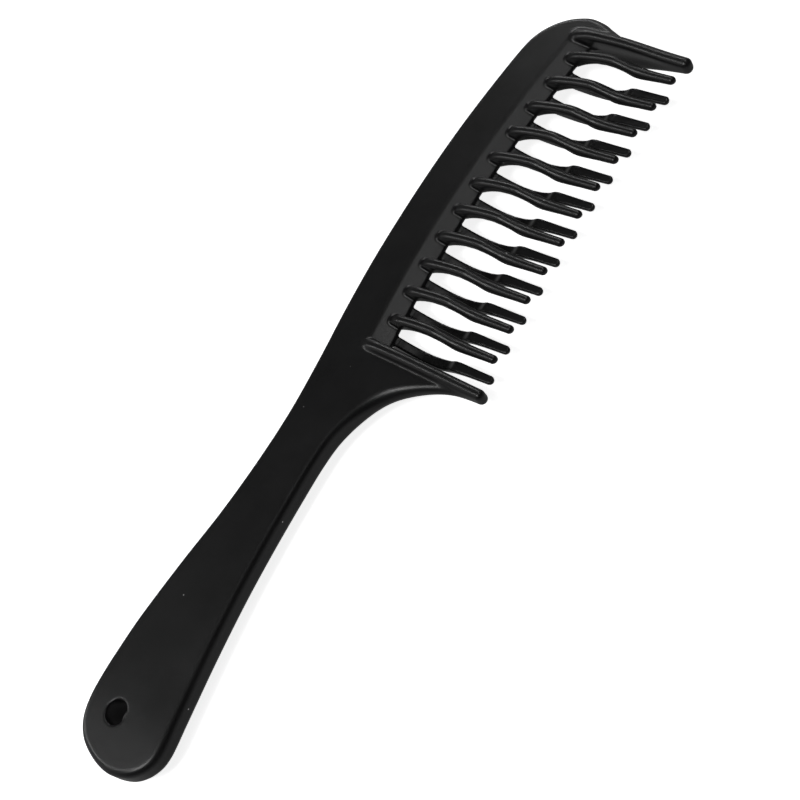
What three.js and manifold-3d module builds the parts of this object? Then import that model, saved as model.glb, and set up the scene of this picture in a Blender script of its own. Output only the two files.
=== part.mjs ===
// Wide tooth comb: a flat handle that runs on into a curved spine, with two rows of teeth set back to
// back and a solid guard tooth at each end of the rows. It is made as two halves that meet on the
// mid-plane, each with its own row of teeth.
//
// Units are millimetres. The comb lies flat with its front face up: +Z is up, +X runs from the handle to
// the head end, and the teeth point towards -Y. The shape is laid out about the mid-plane z = 0, with
// x = 0 and y = 0 at the crown of the spine's edge, and the whole group is moved at the end so that the
// origin is under the middle of its bounding box.

import * as THREE from 'three';
import { mergeVertices } from 'three/addons/utils/BufferGeometryUtils.js';
import Module from 'manifold-3d';

// ---- driving dimensions -------------------------------------------------------------------------

const HALF_THICKNESS = 3.3;         // handle and spine, from the mid-plane to a flat face
const EDGE_ROUND = 1.6;             // rounding all round the flat faces
const LAND_HALF = 0.5;              // half the thickness of the thin land between the rows of teeth
const BEVEL_WIDTH = 5.6;            // from the flat face's edge down to the land

const TEETH_PER_ROW = 11;
const PITCH = 9;
const FIRST_TOOTH_X = 46.1;         // front row, the tooth nearest the head end
const ROW_STAGGER = PITCH / 2;      // the rear row sits half a pitch nearer the handle
const ROOT_RADIUS = 335;            // arc that the land follows
const TIP_RADIUS = 480;             // arc that the tips follow
const TIP_DEPTH = 33.2;             // land to tips at the middle of the row
const TOOTH_HALF_WIDTH = 1.4;
const TIP_HALF_WIDTH = 1.15;
const TOOTH_CHAMFER = 0.5;

const GUARD_INNER_X = { lower: -51.8, top: 51.1 };
const GUARD_WIDTH = 3.1;
const GUARD_TIP_Y = { lower: -37.9, top: -35.4 };
const GUARD_ROOT_Y = 2.4;
const WEB_END_Y = -25;              // the web behind the lower guard ends here
const HEAD_END_Y = -11.5;           // the head end runs down to here behind the top guard

const SPINE_CROWN_Y = 18.4;
const SPINE_RADIUS = 375;
const SPINE_END_X = 47;
const HEAD_END_X = 59.5;
const BUTT_X = -179.9;
const HEEL_RADIUS = 33;             // hollow between the handle and the lower guard
const HEEL_CENTRE = new THREE.Vector2(-86.5, -38.3);
const HANG_HOLE_CENTRE = new THREE.Vector2(-166.9, 2.3);
const HANG_HOLE_DIAMETER = 6.5;

// Each tooth seen from its side: [distance out from the land, height above the mid-plane].
const TOOTH_INNER = [[0.1, 0.3], [2.2, 0.5], [4.2, 1.7], [7.6, 3.3], [11.8, 4], [15.8, 3.2], [19.2, 1.45]];
const TOOTH_OUTER = [[20.5, 3.6], [16, 5.3], [11.5, 6.4], [6.5, 6.1], [1, 4.7], [-3.6, 2.2]];
const TIP_INNER_Z = 1.1;
const TIP_OUTER_Z = 2.9;
const SHANK_START = 21.5;           // from here to the tip a tooth is straight

const ARC_STEPS = 36;

// ---- helpers ------------------------------------------------------------------------------------

const wasm = await Module();
wasm.setup();

function solid(geometry) {
  geometry.deleteAttribute('normal');
  geometry.deleteAttribute('uv');
  const merged = mergeVertices(geometry, 1e-4);
  return new wasm.Manifold(new wasm.Mesh({
    numProp: 3,
    vertProperties: merged.getAttribute('position').array,
    triVerts: Uint32Array.from(merged.getIndex().array),
  }));
}

function mesh(name, body, material) {
  const { vertProperties, triVerts } = body.getMesh();
  const geometry = new THREE.BufferGeometry();
  geometry.setAttribute('position', new THREE.BufferAttribute(Float32Array.from(vertProperties), 3));
  geometry.setIndex(new THREE.BufferAttribute(Uint32Array.from(triVerts), 1));
  geometry.computeVertexNormals();
  const piece = new THREE.Mesh(geometry, material);
  piece.name = name;
  return piece;
}

function shapeOf(points) {
  return new THREE.Shape(points.map(([x, y]) => new THREE.Vector2(x, y)));
}

// A plan shape, extruded from -halfHeight to +halfHeight with its edges taken off by `round`.
function plate(shape, halfHeight, round) {
  const geometry = new THREE.ExtrudeGeometry(shape, {
    depth: 2 * (halfHeight - round),
    bevelEnabled: round > 0,
    bevelThickness: round,
    bevelSize: round,
    bevelOffset: -round,
    bevelSegments: 2,
    curveSegments: 10,
  });
  geometry.translate(0, 0, -(halfHeight - round));
  return solid(geometry);
}

// A side shape, given as (y, z), extruded along X from -halfWidth to +halfWidth.
const SIDE_BASIS = new THREE.Matrix4().makeBasis(
  new THREE.Vector3(0, 1, 0),
  new THREE.Vector3(0, 0, 1),
  new THREE.Vector3(1, 0, 0),
);

function sideBar(shape, halfWidth, chamfer) {
  const geometry = new THREE.ExtrudeGeometry(shape, {
    depth: 2 * (halfWidth - chamfer),
    bevelEnabled: chamfer > 0,
    bevelThickness: chamfer,
    bevelSize: chamfer,
    bevelOffset: -chamfer,
    bevelSegments: 1,
  });
  geometry.translate(0, 0, -(halfWidth - chamfer));
  geometry.applyMatrix4(SIDE_BASIS);
  return solid(geometry);
}

const landY = (x) => -(x ** 2) / (2 * ROOT_RADIUS);
const tipY = (x) => -TIP_DEPTH - (x ** 2) / (2 * TIP_RADIUS);
const smooth = (points) => new THREE.SplineCurve(points.map(([x, y]) => new THREE.Vector2(x, y)))
  .getPoints(points.length * 2);

// ---- handle and spine ---------------------------------------------------------------------------

class RowArc extends THREE.Curve {
  constructor(fromX, toX) {
    super();
    this.fromX = fromX;
    this.toX = toX;
  }

  getPoint(t, target = new THREE.Vector3()) {
    const x = THREE.MathUtils.lerp(this.fromX, this.toX, t);
    return target.set(x, landY(x), 0);
  }
}

function bodyOutline() {
  const rowStart = GUARD_INNER_X.lower;
  const rowEnd = GUARD_INNER_X.top;
  const webAngle = Math.asin((WEB_END_Y - HEEL_CENTRE.y) / HEEL_RADIUS);
  const outline = new THREE.Shape();
  outline.moveTo(rowStart, WEB_END_Y);
  for (let i = 0; i <= ARC_STEPS; i += 1) {
    const x = THREE.MathUtils.lerp(rowStart, rowEnd, i / ARC_STEPS);
    outline.lineTo(x, landY(x));
  }
  outline.lineTo(rowEnd, HEAD_END_Y);
  outline.lineTo(56.2, HEAD_END_Y);
  outline.bezierCurveTo(58.6, -7.5, HEAD_END_X, -4, HEAD_END_X, -0.5);
  outline.bezierCurveTo(HEAD_END_X, 7.5, 54.6, 13.2, SPINE_END_X, spineY(SPINE_END_X));
  for (let i = 1; i <= ARC_STEPS / 2; i += 1) {
    const x = THREE.MathUtils.lerp(SPINE_END_X, -SPINE_END_X, 2 * i / ARC_STEPS);
    outline.lineTo(x, spineY(x));
  }
  outline.splineThru([
    new THREE.Vector2(-71, 12.2),
    new THREE.Vector2(-93, 11.2),
    new THREE.Vector2(-119, 12.6),
    new THREE.Vector2(-143, 14.5),
    new THREE.Vector2(-160, 14),
  ]);
  outline.bezierCurveTo(-173, 13.4, BUTT_X, 8.5, BUTT_X, -3.5);
  outline.bezierCurveTo(BUTT_X, -11.5, -175.3, -16.3, -168, -15.9);
  outline.splineThru([
    new THREE.Vector2(-151, -12.6),
    new THREE.Vector2(-127, -8.7),
    new THREE.Vector2(-105, -6.3),
    new THREE.Vector2(HEEL_CENTRE.x, HEEL_CENTRE.y + HEEL_RADIUS),
  ]);
  outline.absarc(HEEL_CENTRE.x, HEEL_CENTRE.y, HEEL_RADIUS, Math.PI / 2, webAngle, true);
  const hole = new THREE.Path();
  hole.absarc(HANG_HOLE_CENTRE.x, HANG_HOLE_CENTRE.y, HANG_HOLE_DIAMETER / 2, 0, 2 * Math.PI, true);
  outline.holes.push(hole);
  return outline;
}

function spineY(x) {
  return SPINE_CROWN_Y - (x ** 2) / (2 * SPINE_RADIUS);
}

// The wedge of air over one bevel: a triangle swept along the row. The section's first axis runs down
// towards -Z and its second away from the teeth towards +Y.
function bevelCutter(side) {
  const slope = (HALF_THICKNESS - LAND_HALF) / BEVEL_WIDTH;
  const low = -3;
  const high = 9;
  const section = shapeOf([
    [-side * (LAND_HALF + slope * low), low],
    [-side * (LAND_HALF + slope * high), high],
    [-side * (LAND_HALF + slope * high), low],
  ]);
  const path = new RowArc(GUARD_INNER_X.lower, GUARD_INNER_X.top);
  return solid(new THREE.ExtrudeGeometry(section, { steps: ARC_STEPS, extrudePath: path }));
}

function handleAndSpine() {
  return plate(bodyOutline(), HALF_THICKNESS, EDGE_ROUND)
    .subtract(bevelCutter(1))
    .subtract(bevelCutter(-1));
}

// ---- teeth --------------------------------------------------------------------------------------

// A tooth in plan, pointing towards -Y from a land at y = 0.
function toothPlan(length) {
  const shape = new THREE.Shape();
  const tipCentre = -(length - TIP_HALF_WIDTH);
  shape.moveTo(TOOTH_HALF_WIDTH, 5);
  shape.lineTo(-TOOTH_HALF_WIDTH, 5);
  shape.lineTo(-TOOTH_HALF_WIDTH, -SHANK_START);
  shape.lineTo(-TIP_HALF_WIDTH, tipCentre);
  shape.absarc(0, tipCentre, TIP_HALF_WIDTH, Math.PI, 2 * Math.PI, false);
  shape.lineTo(TOOTH_HALF_WIDTH, -SHANK_START);
  return shape;
}

// The same tooth from its side, as (y, z): it bows away from the mid-plane and comes back to it at the
// start of the straight shank.
function toothSide(length, side) {
  const inner = smooth(TOOTH_INNER).map((p) => [-p.x, side * p.y]);
  const outer = smooth(TOOTH_OUTER).map((p) => [-p.x, side * p.y]);
  const shank = [
    [-SHANK_START, side * TIP_INNER_Z],
    [-(length - 0.5), side * TIP_INNER_Z],
    [-length, side * (TIP_INNER_Z + 0.5)],
    [-length, side * (TIP_OUTER_Z - 0.9)],
    [-(length - 0.8), side * TIP_OUTER_Z],
  ];
  return shapeOf([...inner, ...shank, ...outer]);
}

function tooth(x, side) {
  const rootY = landY(x);
  const length = rootY - tipY(x);
  return plate(toothPlan(length), 12, 0)
    .intersect(sideBar(toothSide(length, side), TOOTH_HALF_WIDTH, TOOTH_CHAMFER))
    .translate([x, rootY, 0]);
}

// ---- guard teeth --------------------------------------------------------------------------------

// A guard is one solid bar with the same bow on both faces.
function guardBar(innerX, tip, direction) {
  const rootY = landY(innerX);
  const crest = smooth(TOOTH_OUTER).map((p) => [rootY - p.x, p.y]).reverse();
  const nose = [
    [tip + 1, TIP_OUTER_Z],
    [tip, TIP_OUTER_Z - 1.2],
  ];
  const top = [[GUARD_ROOT_Y, HALF_THICKNESS], ...crest.slice(2), ...nose];
  const bottom = top.map(([y, z]) => [y, -z]).reverse();
  const centreX = innerX + direction * GUARD_WIDTH / 2;
  const plan = new THREE.Shape();
  const noseRadius = GUARD_WIDTH / 2;
  plan.moveTo(noseRadius, GUARD_ROOT_Y);
  plan.lineTo(-noseRadius, GUARD_ROOT_Y);
  plan.lineTo(-noseRadius, tip + noseRadius);
  plan.absarc(0, tip + noseRadius, noseRadius, Math.PI, 2 * Math.PI, false);
  return plate(plan, 12, 0)
    .intersect(sideBar(shapeOf([...top, ...bottom]), noseRadius, 2 * TOOTH_CHAMFER))
    .translate([centreX, 0, 0]);
}

// ---- the comb -----------------------------------------------------------------------------------

function plastic(shade) {
  return new THREE.MeshStandardMaterial({ color: shade, roughness: 0.42, metalness: 0 });
}

let whole = handleAndSpine()
  .add(guardBar(GUARD_INNER_X.top, GUARD_TIP_Y.top, 1))
  .add(guardBar(GUARD_INNER_X.lower, GUARD_TIP_Y.lower, -1));
for (let i = 0; i < TEETH_PER_ROW; i += 1) {
  const x = FIRST_TOOTH_X - i * PITCH;
  whole = whole.add(tooth(x, 1)).add(tooth(x - ROW_STAGGER, -1));
}

// The half-space on one side of the mid-plane, as a box well clear of everything else.
function halfSpace(side) {
  const depth = 20;
  const box = new THREE.BoxGeometry(300, 100, depth);
  box.translate(-60, 0, side * depth / 2);
  return solid(box);
}

const comb = new THREE.Group();
const layout = new THREE.Group();
comb.add(layout);
layout.add(mesh('front_half', whole.intersect(halfSpace(1)), plastic(0x121214)));
layout.add(mesh('rear_half', whole.intersect(halfSpace(-1)), plastic(0x161618)));

// The comb lies on its rear teeth: put the origin under the middle of its bounding box.
const box = new THREE.Box3().setFromObject(layout);
const middle = box.getCenter(new THREE.Vector3());
layout.position.set(-middle.x, -middle.y, -box.min.z);

export default comb;
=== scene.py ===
import math

import bmesh
import bpy
import numpy as np
from mathutils import Euler, Matrix, Vector


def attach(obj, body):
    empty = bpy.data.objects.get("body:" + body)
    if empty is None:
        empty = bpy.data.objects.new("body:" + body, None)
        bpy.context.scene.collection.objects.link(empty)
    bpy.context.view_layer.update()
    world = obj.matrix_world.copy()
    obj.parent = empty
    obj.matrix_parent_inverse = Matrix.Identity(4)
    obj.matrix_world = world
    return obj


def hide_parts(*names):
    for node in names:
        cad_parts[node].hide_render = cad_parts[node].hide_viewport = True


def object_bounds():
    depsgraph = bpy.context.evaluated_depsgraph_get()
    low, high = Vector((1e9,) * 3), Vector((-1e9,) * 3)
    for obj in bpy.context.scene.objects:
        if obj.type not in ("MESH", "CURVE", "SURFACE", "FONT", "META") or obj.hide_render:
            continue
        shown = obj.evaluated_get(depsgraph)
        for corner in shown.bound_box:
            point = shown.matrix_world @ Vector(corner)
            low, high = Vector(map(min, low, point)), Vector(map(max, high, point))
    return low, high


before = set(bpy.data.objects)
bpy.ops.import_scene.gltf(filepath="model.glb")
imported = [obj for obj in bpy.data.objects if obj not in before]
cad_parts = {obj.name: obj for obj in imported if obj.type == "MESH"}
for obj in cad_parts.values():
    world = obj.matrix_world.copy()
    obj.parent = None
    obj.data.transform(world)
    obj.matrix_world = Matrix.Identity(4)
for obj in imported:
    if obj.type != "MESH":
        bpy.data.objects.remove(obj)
cad_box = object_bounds()

# The comb is one smooth surface, given as the place where a distance field is zero. The field is worked
# out in millimetres about the comb's mid-plane, z = 0, in the same layout as the CAD: x runs to the head
# end, the teeth point towards -y, and y = 0 is the crown of the land that they stand on. `origin` is the
# zero point of that layout in the row frame.
MM = 1000
HEAD_END_X = 59.5
SPINE_CROWN_Y = 18.4
box_low, box_high = (np.array(corner) for corner in cad_box)
origin = np.array([
    box_high[0] * MM - HEAD_END_X,
    box_high[1] * MM - SPINE_CROWN_Y,
    (box_low[2] + box_high[2]) * MM / 2,
])

# ---- curves ---------------------------------------------------------------------------------------


def catmull(points, steps):
    """Points along a Catmull-Rom curve through the given ones."""
    p = np.array(points, float)
    p = np.vstack([2 * p[0] - p[1], p, 2 * p[-1] - p[-2]])
    t = np.linspace(0, 1, steps, endpoint=False)[:, None]
    rows = []
    for a, b, c, d in zip(p[:-3], p[1:-2], p[2:-1], p[3:]):
        rows.append(0.5 * (2 * b + (c - a) * t + (2 * a - 5 * b + 4 * c - d) * t ** 2
                           + (3 * b - a - 3 * c + d) * t ** 3))
    rows.append(p[-2][None])
    return np.vstack(rows)


def profile(points):
    """A smooth function through (station, value) pairs, stations rising."""
    dense = catmull(points, 16)
    return lambda s: np.interp(s, dense[:, 0], dense[:, 1])


def ramp(a, b, s):
    """Eases from 0 at a to 1 at b."""
    t = np.clip((s - a) / (b - a), 0, 1)
    return t * t * (3 - 2 * t)


# ---- distances ------------------------------------------------------------------------------------


def smin(a, b, k):
    """The smaller of two distances, blended where they differ by less than k: joins two solids."""
    h = np.maximum(k - np.abs(a - b), 0) / k
    return np.minimum(a, b) - h * h * k * 0.25


def smax(a, b, k):
    """The larger of two distances, blended likewise: keeps what two solids share."""
    return -smin(-a, -b, k)


def rounded_corner(a, b, r):
    """Distance to a solid with two faces, at distances a and b, that meet in an edge of radius r."""
    a, b = a + r, b + r
    return np.minimum(np.maximum(a, b), 0) + np.hypot(np.maximum(a, 0), np.maximum(b, 0)) - r


# ---- outline --------------------------------------------------------------------------------------

GUARD_LOWER_X = -51.9               # inner faces of the two guard teeth, at either end of the land
GUARD_TOP_X = 51.1
LAND_CROWN_X = -1
LAND_FALL = 0.0015                  # of the land to either side of its crown, per mm2


def land_y(x):
    return -LAND_FALL * (x - LAND_CROWN_X) ** 2


# Going round from the head end along the spine and back under the handle, down to the lower guard.
# These are not design dimensions. A scratch script traced the photograph's contour through the fitted
# camera, and these are some of its points, rounded. part.mjs draws the same outline from arcs, curves
# and a few points, which is how it should be done here too.
HEAD = [(56, -12), (57.4, -8.4), (58.7, -5.2), (59.5, -0.6), (58.9, 3.2), (57.5, 6.8), (54.8, 10.5),
        (50.9, 13.5)]
SPINE = [(45.5, 15.3), (33, 16.8), (17, 18), (1, 18.4), (-15, 18.1), (-31, 17.2), (-47, 15.5),
         (-63, 13.25), (-79, 11.55), (-95, 11.2), (-111, 11.85), (-127, 13.4), (-143, 14.45),
         (-152, 14.5), (-161, 14.1)]
BUTT = [(-168.2, 13.1), (-173.4, 11), (-177.1, 7.1), (-179.2, 1.7), (-179.9, -3.5), (-179.3, -7.4),
        (-177.2, -11.7), (-173.3, -14.9), (-168.3, -15.9)]
HEEL = [(-159, -14.2), (-143, -11.15), (-127, -8.65), (-111, -6.9), (-95, -5.7), (-87, -5.35),
        (-80.2, -5.7), (-74, -7.4), (-68.2, -10.5), (-63.1, -14.9), (-59.2, -20.4), (-56.6, -26.5),
        (-55.2, -33), (-54.6, -36.5)]


def outline_points():
    outer = catmull(HEAD + SPINE + BUTT + HEEL, 14)
    lower_tip = np.array([[GUARD_LOWER_X, HEEL[-1][1]]])
    xs = np.linspace(GUARD_LOWER_X, GUARD_TOP_X, 200)
    land = np.stack([xs, land_y(xs)], 1)
    upper_tip = np.array([[GUARD_TOP_X, -12.5], [54, -12.5]])
    return np.vstack([outer, lower_tip, land, upper_tip])


class Outline:
    """Signed distance to the outline in plan, kept on a grid and read with cubic interpolation."""
    STEP = 0.5
    MARGIN = 4

    def __init__(self, points):
        following = np.roll(points, -1, 0)
        keep = np.hypot(*(following - points).T) > 1e-9
        a, b = points[keep], following[keep]
        self.x0, self.y0 = a.min(0) - self.MARGIN
        self.nx = int((a[:, 0].max() + self.MARGIN - self.x0) / self.STEP) + 2
        self.ny = int((a[:, 1].max() + self.MARGIN - self.y0) / self.STEP) + 2
        gx = self.x0 + self.STEP * np.arange(self.nx)
        gy = self.y0 + self.STEP * np.arange(self.ny)
        self.table = np.empty((self.nx, self.ny), np.float32)
        ab = (b - a).astype(np.float32)
        length2 = (ab ** 2).sum(1)
        for i, x in enumerate(gx):
            px = (x - a[:, 0]).astype(np.float32)[None]
            py = (gy[:, None] - a[:, 1][None]).astype(np.float32)
            t = np.clip((px * ab[:, 0] + py * ab[:, 1]) / length2, 0, 1)
            d2 = (px - t * ab[:, 0]) ** 2 + (py - t * ab[:, 1]) ** 2
            crosses = (a[:, 0] > x) != (b[:, 0] > x)
            y_cross = a[crosses, 1] + (x - a[crosses, 0]) / (b - a)[crosses, 0] * (b - a)[crosses, 1]
            inside = (gy[:, None] > y_cross[None]).sum(1) % 2 == 1
            self.table[i] = np.sqrt(d2.min(1)) * np.where(inside, -1, 1)

    def __call__(self, x, y):
        u = (x - self.x0) / self.STEP
        v = (y - self.y0) / self.STEP
        i = np.clip(np.floor(u).astype(int), 1, self.nx - 3)
        j = np.clip(np.floor(v).astype(int), 1, self.ny - 3)
        wu = self.weights(np.clip(u - i, 0, 1))
        wv = self.weights(np.clip(v - j, 0, 1))
        total = 0
        for a in range(4):
            for b in range(4):
                total = total + wu[a] * wv[b] * self.table[i + a - 1, j + b - 1]
        return total

    @staticmethod
    def weights(f):
        """Catmull-Rom weights of the four grid points around a place that is f of the way along."""
        return (0.5 * (-f + 2 * f ** 2 - f ** 3), 0.5 * (2 - 5 * f ** 2 + 3 * f ** 3),
                0.5 * (f + 4 * f ** 2 - 3 * f ** 3), 0.5 * (f ** 3 - f ** 2))


outline = Outline(outline_points())

# ---- handle and spine -----------------------------------------------------------------------------

INSET = 0.02                        # keeps the looks just inside the CAD's outline
LAND_HALF = 0.5                     # half thicknesses of the land and of the flat spine above it
SPINE_HALF = 3.25
EDGE_ROUND = 1.8
HEEL_SOFTENING = 1.2                # added to EDGE_ROUND at HEEL_CORNER, fading out around it
HEEL_CORNER = (-64.5, -11.5)
HEEL_SPREAD = 60                    # mm2
WEB_THINNING = 1.5                  # off each face of the web at its lower end
WEB_EDGES_X = (-46, -56)            # the thinning eases in between these
WEB_EDGES_Y = (-2, -30)
BEVEL_TOP_Y = 5.75                  # where the bevel starts at x = 0, and its fall away from there
BEVEL_TOP_FALL = 0.0014
BEVEL_MIDDLE_X = -0.4
BEVEL_REACH = 52.2                  # the bevel runs out this far either side of its middle
BEVEL_END_SLOPE = 12
BEVEL_BLEND = 0.45
HOLE = (-166.9, 2.3, 3.25)          # centre and radius of the hanging hole
HOLE_BLEND = 0.3
half_thickness = profile([(-182, 3.6), (-175, 3.7), (-165, 3.75), (-150, 3.55), (-120, 3.3), (-90, 3.25),
                          (-60, SPINE_HALF), (0, SPINE_HALF), (62, 3.2)])


def body(x, y, z):
    """Handle, spine and web, with the bevel on both faces down to the land, and the hanging hole."""
    height = np.abs(z)
    half = half_thickness(x) - WEB_THINNING * ramp(*WEB_EDGES_Y, y) * ramp(*WEB_EDGES_X, x)
    from_heel2 = (x - HEEL_CORNER[0]) ** 2 + (y - HEEL_CORNER[1]) ** 2
    r = EDGE_ROUND + HEEL_SOFTENING * np.exp(-from_heel2 / HEEL_SPREAD)
    plate = rounded_corner(outline(x, y) + INSET, height - half, r)
    bevel_top_y = BEVEL_TOP_Y - BEVEL_TOP_FALL * x ** 2
    slope = (SPINE_HALF - LAND_HALF) / (bevel_top_y - land_y(x))
    past_end = np.maximum(np.abs(x - BEVEL_MIDDLE_X) - BEVEL_REACH, 0)
    bevel_z = LAND_HALF + slope * (y - land_y(x)) + BEVEL_END_SLOPE * past_end
    f = smax(plate, (height - bevel_z) / np.sqrt(1 + slope ** 2), BEVEL_BLEND)
    hole = HOLE[2] - np.hypot(x - HOLE[0], y - HOLE[1])
    return smax(f, hole, HOLE_BLEND)


# ---- teeth ----------------------------------------------------------------------------------------

PITCH = 9.0
TEETH = 11
FRONT_SHIFT = 0.8                   # x of the middle front tooth; the rear row is half a pitch back
TOOTH_LENGTH = 33.2
TIP_CURVE = (3.4, 0.00105)          # the teeth grow longer away from this x, by this much per mm2
LEAN = 0.65 / 33                    # towards the head end, per millimetre of length
ROOT_REACH = 6                      # how far a tooth's root runs up into the spine
FLAT_SIDE_ROUND = 0.3
TOOTH_BLEND = 0.7

# Along a tooth, by depth below the land: heights of its flat inner side and its rounded outer side
# above the mid-plane, and half its width. The inner side from 8.6 down follows measured heights that a
# scratch script printed.
inner_z = profile([(-8, -1.5), (0, 0.1), (1.2, 0.55), (2.6, 1.35), (4.2, 2.15), (5.6, 2.75), (7, 3.25),
                   (8.6, 3.7), (10.5, 3.9), (12, 4), (14, 3.8), (16.1, 3.2), (17.5, 2.6), (19.4, 1.4),
                   (20.8, 1), (23, 0.9), (40, 1)])
outer_z = profile([(-8, -2), (-5.5, 0.2), (-4, 1.7), (-2, 3.4), (0, 4.5), (2, 5.1), (4, 5.5), (7, 6),
                   (10, 6.3), (12, 6.35), (14, 6.1), (16, 5.4), (18, 4.6), (20, 3.8), (22, 3.3),
                   (25, 2.9), (30, 2.7), (40, 2.6)])
half_width = profile([(-8, 1.2), (-3, 1.3), (0, 1.35), (8, 1.4), (16, 1.5), (20, 1.5), (26, 1.3),
                      (31, 1.18), (40, 1.1)])


def tooth_row(x, y, z, side):
    """All the teeth of one row, as the distance to the tooth that is nearest along x."""
    shift = FRONT_SHIFT if side > 0 else FRONT_SHIFT - PITCH / 2
    lean = LEAN * np.clip(land_y(x) - y, 0, 40)
    number = np.clip(np.round((x - shift - lean) / PITCH), -(TEETH // 2), TEETH // 2)
    root_x = shift + number * PITCH
    depth = land_y(root_x) - y
    length = TOOTH_LENGTH + TIP_CURVE[1] * (root_x - TIP_CURVE[0]) ** 2 + land_y(root_x)
    across = x - root_x - LEAN * np.clip(depth, 0, 40)
    width = half_width(depth)
    past_end = np.maximum(depth - (length - width), 0)
    low, high = inner_z(depth), outer_z(depth)
    middle, half = (low + high) / 2, (high - low) / 2
    above = z * side
    outer_round = np.minimum(width * 0.98, 0.75 * (high - low))
    r = np.where(above > middle, outer_round, FLAT_SIDE_ROUND)
    f = rounded_corner(np.hypot(across, past_end) - width, np.abs(above - middle) - half, r)
    return np.maximum(f, -ROOT_REACH - depth)


# ---- guard teeth ----------------------------------------------------------------------------------

GUARD_END_Y = 7                     # the guards' roots die away on the bevel before here
GROOVE_SPAN = 0.45                  # of a guard's half thickness
GROOVE_FADE = (2.5, 4.2)            # half thicknesses between which the groove eases in
LOWER_GUARD_BLEND = 0.9
TOP_GUARD_BLEND = 1.2

# Half thickness by y.
lower_guard_z = profile([(-40, 2.2), (-34, 2.6), (-28, 3.3), (-20, 4.2), (-12, 4.9), (-6, 5.1), (-2, 4.9),
                         (1, 4.2), (3, 3.0), (5, 1.6), (8, 0)])
top_guard_z = profile([(-40, 2.1), (-34, 2.4), (-28, 3.1), (-22, 4.1), (-15, 5.1), (-8, 5.4), (-4, 5.3),
                       (-2, 4.9), (0, 4.3), (2, 3.2), (4, 1.6), (6, 0)])


def guard(x, y, z, inner_x, outward, width, tip, half_z, groove=0):
    """A guard tooth, `width` to either side of its middle line, whose inner face stands at inner_x.

    A groove of the given depth runs along the middle of its inner face wherever it is thick enough.
    """
    u = x - (inner_x + outward * width)
    half = half_z(y)
    span = GROOVE_SPAN * np.maximum(half, 1)
    hollow = groove * ramp(*GROOVE_FADE, half) * np.exp(-(z / span) ** 2)
    past_tip = np.maximum(tip + width - y, 0)
    across = np.hypot(u, past_tip) + hollow * (u * outward < 0)
    f = rounded_corner(across - width, np.abs(z) - half, width * 0.95)
    return np.maximum(f, y - GUARD_END_Y)


def comb_field(x, y, z):
    """Negative inside the comb and positive outside it."""
    f = body(x, y, z)
    for side in (1, -1):
        f = smin(f, tooth_row(x, y, z, side), TOOTH_BLEND)
    lower = guard(x, y, z, GUARD_LOWER_X, -1, 1.55, -37.85, lower_guard_z)
    top = guard(x, y, z, GUARD_TOP_X, 1, 1.7, -36, top_guard_z, groove=0.45)
    return smin(smin(f, lower, LOWER_GUARD_BLEND), top, TOP_GUARD_BLEND)


# ---- meshing --------------------------------------------------------------------------------------

CELL = 0.36
FIELD_LOW = np.array([-181.5, -40, -7.2])
FIELD_HIGH = np.array([61, 20, 7.2])


def sample(field, low, high, cell):
    """The field on a grid that is symmetrical about z = 0, and the places of its planes."""
    n = np.ceil((high - low) / cell).astype(int)
    n[2] += n[2] % 2
    axes = [low[a] + cell * (np.arange(n[a]) + 0.5) for a in range(2)]
    axes.append(cell * (np.arange(n[2]) - n[2] / 2 + 0.5))
    values = np.empty(n, np.float32)
    for i in range(0, n[0], 64):
        gx, gy = np.broadcast_arrays(axes[0][i:i + 64, None, None], axes[1][None, :, None])
        values[i:i + 64] = field(gx, gy, axes[2][None, None, :])
    return values, axes


def surface_mesh(field, low, high, cell):
    """A closed quad mesh of the surface where the field is zero (surface nets), and its edges."""
    values, axes = sample(field, low, high, cell)
    inside = values < 0
    cells = tuple(s - 1 for s in values.shape)
    total = np.zeros(cells + (3,), np.float32)
    count = np.zeros(cells, np.int16)
    crossings = []
    for axis in range(3):
        near = tuple(slice(None, -1) if a == axis else slice(None) for a in range(3))
        far = tuple(slice(1, None) if a == axis else slice(None) for a in range(3))
        where = np.argwhere(inside[near] != inside[far])
        v_near = values[near][tuple(where.T)]
        v_far = values[far][tuple(where.T)]
        point = where.astype(np.float32)
        point[:, axis] += v_near / (v_near - v_far)
        around = []
        for s0, s1 in ((0, 0), (-1, 0), (-1, -1), (0, -1)):
            c = where.copy()
            c[:, [a for a in range(3) if a != axis]] += (s0, s1)
            around.append(tuple(c.T))
            np.add.at(total, around[-1], point)
            np.add.at(count, around[-1], 1)
        crossings.append((axis, around, v_near < 0))
    active = count > 0
    index = np.full(cells, -1, np.int64)
    index[active] = np.arange(active.sum())
    verts = total[active] / count[active][:, None]
    verts = np.stack([axes[a][0] + cell * verts[:, a] for a in range(3)], 1).astype(float)
    faces = []
    for axis, around, outward in crossings:
        quad = np.stack([index[c] for c in around], 1)
        turned = outward if axis == 1 else ~outward
        quad[turned] = quad[turned][:, ::-1]
        faces.append(quad)
    faces = np.vstack(faces)
    pairs = np.vstack([faces[:, [0, 1]], faces[:, [1, 2]], faces[:, [2, 3]], faces[:, [3, 0]]])
    return settled(field, verts, pairs, cell), faces, pairs


def gradient(field, points, step=0.04):
    g = np.empty_like(points)
    for a in range(3):
        offset = np.zeros(3)
        offset[a] = step
        g[:, a] = (field(*(points + offset).T) - field(*(points - offset).T)) / (2 * step)
    return g


def neighbour_mean(values, pairs):
    """The average of each vertex's neighbours."""
    total = np.zeros_like(values)
    np.add.at(total, pairs[:, 0], values[pairs[:, 1]])
    np.add.at(total, pairs[:, 1], values[pairs[:, 0]])
    return (total.T / np.bincount(pairs.ravel(), minlength=len(values))).T


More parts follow.
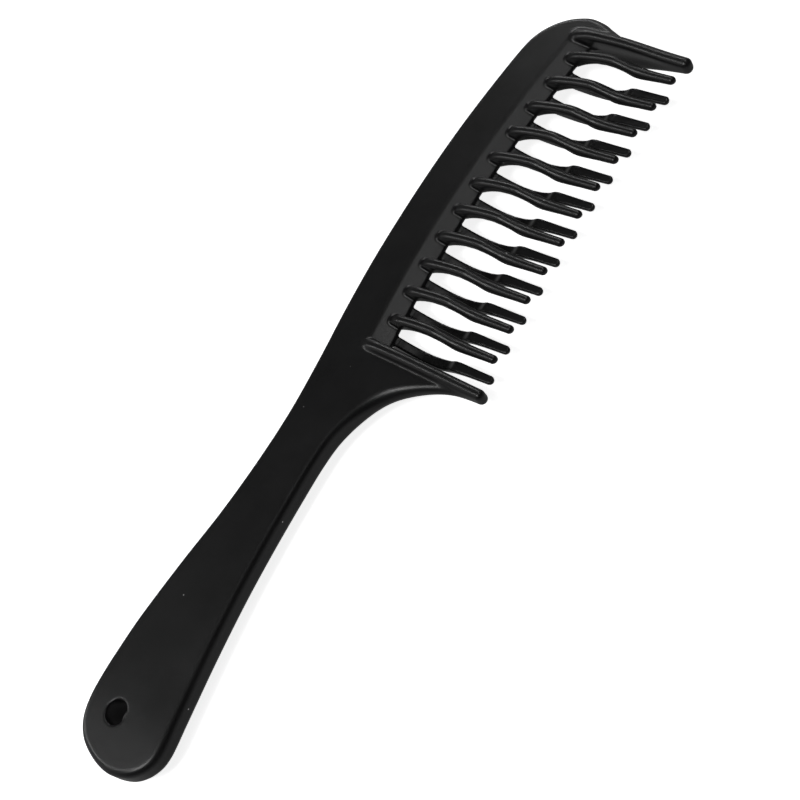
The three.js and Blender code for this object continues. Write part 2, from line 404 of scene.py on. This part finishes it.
def settled(field, verts, pairs, cell):
    """The vertices spread evenly and moved on to the surface, with those on the mid-plane kept on it."""
    on_plane = np.abs(verts[:, 2]) < cell * 0.3
    for spread_too in (True, True, True, False):
        g = gradient(field, verts)
        g2 = np.maximum((g ** 2).sum(1), 0.05)
        move = -(field(*verts.T) / g2)[:, None] * g
        if spread_too:
            slide = neighbour_mean(verts, pairs) - verts
            normal = g / np.sqrt(g2)[:, None]
            slide -= (slide * normal).sum(1)[:, None] * normal
            move = move + 0.5 * slide
        length = np.linalg.norm(move, axis=1)[:, None]
        verts = verts + move * np.minimum(1, 0.3 * cell / np.maximum(length, 1e-9))
        verts[on_plane, 2] = 0
    return verts


def convexity(verts, faces, pairs):
    """How convex the surface is at each vertex, smoothed, for the wear along edges."""
    corners = verts[faces]
    face_normal = np.cross(corners[:, 2] - corners[:, 0], corners[:, 3] - corners[:, 1])
    normal = np.zeros_like(verts)
    for c in range(4):
        np.add.at(normal, faces[:, c], face_normal)
    normal /= np.maximum(np.linalg.norm(normal, axis=1), 1e-9)[:, None]
    value = -((neighbour_mean(verts, pairs) - verts) * normal).sum(1) / CELL ** 2
    for _ in range(2):
        value = 0.5 * value + 0.5 * neighbour_mean(value, pairs)
    return value


verts, faces, pairs = surface_mesh(comb_field, FIELD_LOW, FIELD_HIGH, CELL)
wear = convexity(verts, faces, pairs)


def half_mesh(name, side):
    """One half of the comb, closed where it meets the other half on the mid-plane."""
    reaches_in = (verts[faces][:, :, 2] * side).max(1) > 1e-6
    used = faces[reaches_in]
    keep = np.unique(used)
    remap = np.full(len(verts), -1)
    remap[keep] = np.arange(len(keep))
    mesh = bpy.data.meshes.new(name)
    mesh.from_pydata(((verts[keep] + origin) / MM).tolist(), [], remap[used].tolist())
    layer = mesh.attributes.new("wear", "FLOAT", "POINT")
    layer.data.foreach_set("value", wear[keep].astype(np.float32))
    bm = bmesh.new()
    bm.from_mesh(mesh)
    bmesh.ops.bisect_plane(
        bm, geom=bm.verts[:] + bm.edges[:] + bm.faces[:], dist=1e-5,
        plane_co=(0, 0, origin[2] / MM), plane_no=(0, 0, -side), clear_outer=True)
    rim = [e for e in bm.edges if e.is_boundary]
    cap = bmesh.ops.triangle_fill(bm, edges=rim, use_beauty=False, normal=(0, 0, -side))
    for face in bm.faces:
        face.smooth = True
    for face in (g for g in cap["geom"] if isinstance(g, bmesh.types.BMFace)):
        face.smooth = False
    for edge in rim:
        edge.smooth = False
    bm.to_mesh(mesh)
    bm.free()
    obj = bpy.data.objects.new(name, mesh)
    bpy.context.scene.collection.objects.link(obj)
    return obj


# ---- materials ------------------------------------------------------------------------------------


class Graph:
    """Builds the nodes of a material or world. Any value put in may be another node's output."""

    def __init__(self, owner):
        owner.use_nodes = True
        self.nodes, self.links = owner.node_tree.nodes, owner.node_tree.links

    def feed(self, node, inputs):
        for name, value in inputs.items():
            if isinstance(value, bpy.types.NodeSocket):
                self.links.new(value, node.inputs[name])
            else:
                node.inputs[name].default_value = value
        return node.outputs

    def add(self, kind, inputs):
        return self.feed(self.nodes.new(kind), inputs)

    def spread(self, source, start, end, low, high):
        """Takes start to end of the source on to low to high, and stays level beyond both."""
        ends = {"From Min": start, "From Max": end, "To Min": low, "To Max": high}
        return self.add("ShaderNodeMapRange", {"Value": source, **ends})["Result"]

    def maths(self, operation, a, b):
        node = self.nodes.new("ShaderNodeMath")
        node.operation = operation
        return self.feed(node, {0: a, 1: b})["Value"]

    def mix(self, share, a, b):
        node = self.nodes.new("ShaderNodeMix")
        node.data_type = "RGBA"
        return self.feed(node, {"Factor": share, "A": a, "B": b})["Result"]

    def noise(self, place, seed, scale, detail, rough=0.5):
        node = self.nodes.new("ShaderNodeTexNoise")
        node.noise_dimensions = "4D"
        return self.feed(node, {"Vector": place, "W": seed, "Scale": scale, "Detail": detail,
                                "Roughness": rough})["Fac"]


def moulded_plastic(name, seed):
    """Black plastic with faint blotches and a fine grain, lighter worn edges and specks of dust."""
    mat = bpy.data.materials.new(name)
    graph = Graph(mat)
    place = graph.nodes.new("ShaderNodeTexCoord").outputs["Object"]
    attribute = graph.nodes.new("ShaderNodeAttribute")
    attribute.attribute_name = "wear"
    edge = graph.spread(attribute.outputs["Fac"], 0.25, 1.2, 0, 1)
    blotch = graph.noise(place, seed, 60, 3)
    fine = graph.noise(place, seed, 1400, 2)
    grain = graph.noise(place, seed, 5200, 2, 0.6)
    ripple = graph.noise(place, seed, 350, 2)

    plain = graph.mix(graph.spread(blotch, 0.3, 0.7, 0, 1),
                      (0.0048, 0.0048, 0.0050, 1), (0.0066, 0.0066, 0.0069, 1))
    worn = graph.mix(graph.maths("MULTIPLY", edge, 0.5), plain, (0.012, 0.012, 0.0126, 1))
    from_speck = graph.add("ShaderNodeTexVoronoi", {"Vector": place, "Scale": 150})["Distance"]
    dusty = graph.mix(graph.spread(from_speck, 0.02, 0.035, 1, 0), worn, (0.4, 0.4, 0.4, 1))

    rough = graph.maths("ADD", graph.spread(blotch, 0.3, 0.7, 0.28, 0.34),
                        graph.spread(fine, 0.3, 0.7, -0.02, 0.03))
    rough = graph.maths("SUBTRACT", rough, graph.maths("MULTIPLY", edge, 0.05))

    fine_bump = graph.add("ShaderNodeBump", {"Height": grain, "Strength": 0.06, "Distance": 0.00006})
    bump = graph.add("ShaderNodeBump", {"Height": ripple, "Strength": 0.05, "Distance": 0.0004,
                                        "Normal": fine_bump["Normal"]})
    graph.feed(graph.nodes["Principled BSDF"], {
        "Base Color": dusty, "Roughness": rough, "Normal": bump["Normal"],
        "Specular IOR Level": 0.4, "IOR": 1.5})
    return mat


for number, (node, side) in enumerate((("front_half", 1), ("rear_half", -1))):
    piece = half_mesh("moulded_" + node, side)
    piece.data.materials.append(moulded_plastic("black_plastic_" + node, 3.0 + number))
    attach(piece, "root")
    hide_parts(node)

# ---- stage ----------------------------------------------------------------------------------------

FLOOR_REACH = 3                     # metres, like the rest of the stage
FLOOR_Z = -0.0002                   # just below the comb, and the shade between the two
SHADE_Z = -0.0001
SHADE_RADIUS = 0.0055
SHADE_OFFSET_Y = 0.002


def stage_sheet(name, corners, height, tone, glow):
    """A flat sheet on the floor, matt, with a little light of its own."""
    mesh = bpy.data.meshes.new(name)
    mesh.from_pydata([(x, y, height) for x, y in corners], [], [list(range(len(corners)))])
    obj = bpy.data.objects.new(name, mesh)
    bpy.context.scene.collection.objects.link(obj)
    mat = bpy.data.materials.new(name)
    graph = Graph(mat)
    graph.feed(graph.nodes["Principled BSDF"], {
        "Base Color": (tone, tone, tone, 1), "Roughness": 0.9, "Specular IOR Level": 0.1,
        "Emission Color": (1, 1, 1, 1), "Emission Strength": glow})
    mesh.materials.append(mat)
    return obj


floor_corners = [(FLOOR_REACH * x, FLOOR_REACH * y) for x, y in ((-1, -1), (1, -1), (1, 1), (-1, 1))]
floor = stage_sheet("floor", floor_corners, FLOOR_Z, 0.9, 0.85)
floor.visible_glossy = False        # the world stands in for it in the comb's reflections

# A dark disc on the floor, painted shade with a faint glow of its own, that makes the hanging hole look
# dark from the camera's angle. It isn't part of the comb, and it shows under the butt in low views.
shade_x = (origin[0] + HOLE[0]) / MM
shade_y = (origin[1] + HOLE[1]) / MM + SHADE_OFFSET_Y
turns = np.linspace(0, 2 * np.pi, 32, endpoint=False)
shade = [(shade_x + SHADE_RADIUS * math.cos(a), shade_y + SHADE_RADIUS * math.sin(a)) for a in turns]
stage_sheet("painted_hole_shade", shade, SHADE_Z, 0.02, 0.045)


def studio_world():
    """A white backdrop to the camera, and a dim room to the comb.

    Above the horizon the room is grey behind the comb and dark in front of it, with a lighter stretch
    at each side. Below the horizon it has the tone that the floor takes in the comb's reflections. The
    tones were matched from the photograph's angle only.
    """
    world = bpy.data.worlds.new("studio")
    graph = Graph(world)
    direction = graph.nodes.new("ShaderNodeTexCoord").outputs["Generated"]
    along = graph.add("ShaderNodeSeparateXYZ", {"Vector": direction})
    back = graph.spread(along["Y"], -0.3, 0.35, 0.02, 0.10)
    left = graph.spread(along["X"], -0.15, -0.45, 0, 0.28)
    right = graph.spread(along["X"], 0.6, 0.85, 0, 0.3)
    behind = graph.spread(along["Y"], 0.05, 0.4, 0, 1)
    sides = graph.maths("MULTIPLY", graph.maths("ADD", left, right), behind)
    level = graph.spread(along["Z"], -0.2, 0.02, 0.28, graph.maths("ADD", back, sides))
    seen = graph.nodes.new("ShaderNodeLightPath").outputs["Is Camera Ray"]
    graph.feed(graph.nodes["Background"], {
        "Color": (1, 1, 1, 1), "Strength": graph.maths("MAXIMUM", level, seen)})
    return world


bpy.context.scene.world = studio_world()


def softbox(name, place, aim, along, size, watts):
    """A rectangular light at `place` facing `aim`, with its second side lying along `along`."""
    light = bpy.data.lights.new(name, "AREA")
    light.shape = "RECTANGLE"
    light.size, light.size_y = size
    light.energy = watts
    obj = bpy.data.objects.new(name, light)
    bpy.context.scene.collection.objects.link(obj)
    back = (Vector(place) - Vector(aim)).normalized()
    side = Vector(along).cross(back).normalized()
    turn = Matrix((side, back.cross(side), back)).transposed()
    obj.matrix_world = Matrix.Translation(place) @ turn.to_4x4()


softbox("right_strip", (0.82, 0.50, 0.70), (0.05, 0, 0), (0, -1, 0.8), (0.08, 1.5), 3.5)
softbox("left_strip", (-0.40, 0.55, 0.72), (0.05, 0, 0), (0, -1, 0.8), (0.06, 1.3), 2.5)
softbox("left_key", (-0.55, -0.02, 0.95), (-0.05, 0, 0), (0, 1, 0), (0.3, 0.3), 3.4)
softbox("top_fill", (0.55, -0.30, 1.50), (0.05, 0, 0), (0, 1, 0), (0.5, 0.5), 1.5)

# ---- camera ---------------------------------------------------------------------------------------

camera_data = bpy.data.cameras.new("camera")
camera_data.lens = 62.13
camera_data.sensor_width = 36
camera_data.clip_start = 0.01
camera = bpy.data.objects.new("camera", camera_data)
bpy.context.scene.collection.objects.link(camera)
camera.location = (-0.06998, -0.21869, 0.28290)
camera.rotation_euler = Euler([math.radians(a) for a in (30.609, 25.307, -53.399)], "XYZ")
bpy.context.scene.camera = camera
bpy.context.scene.view_settings.view_transform = "Standard"

bpy.context.view_layer.update()
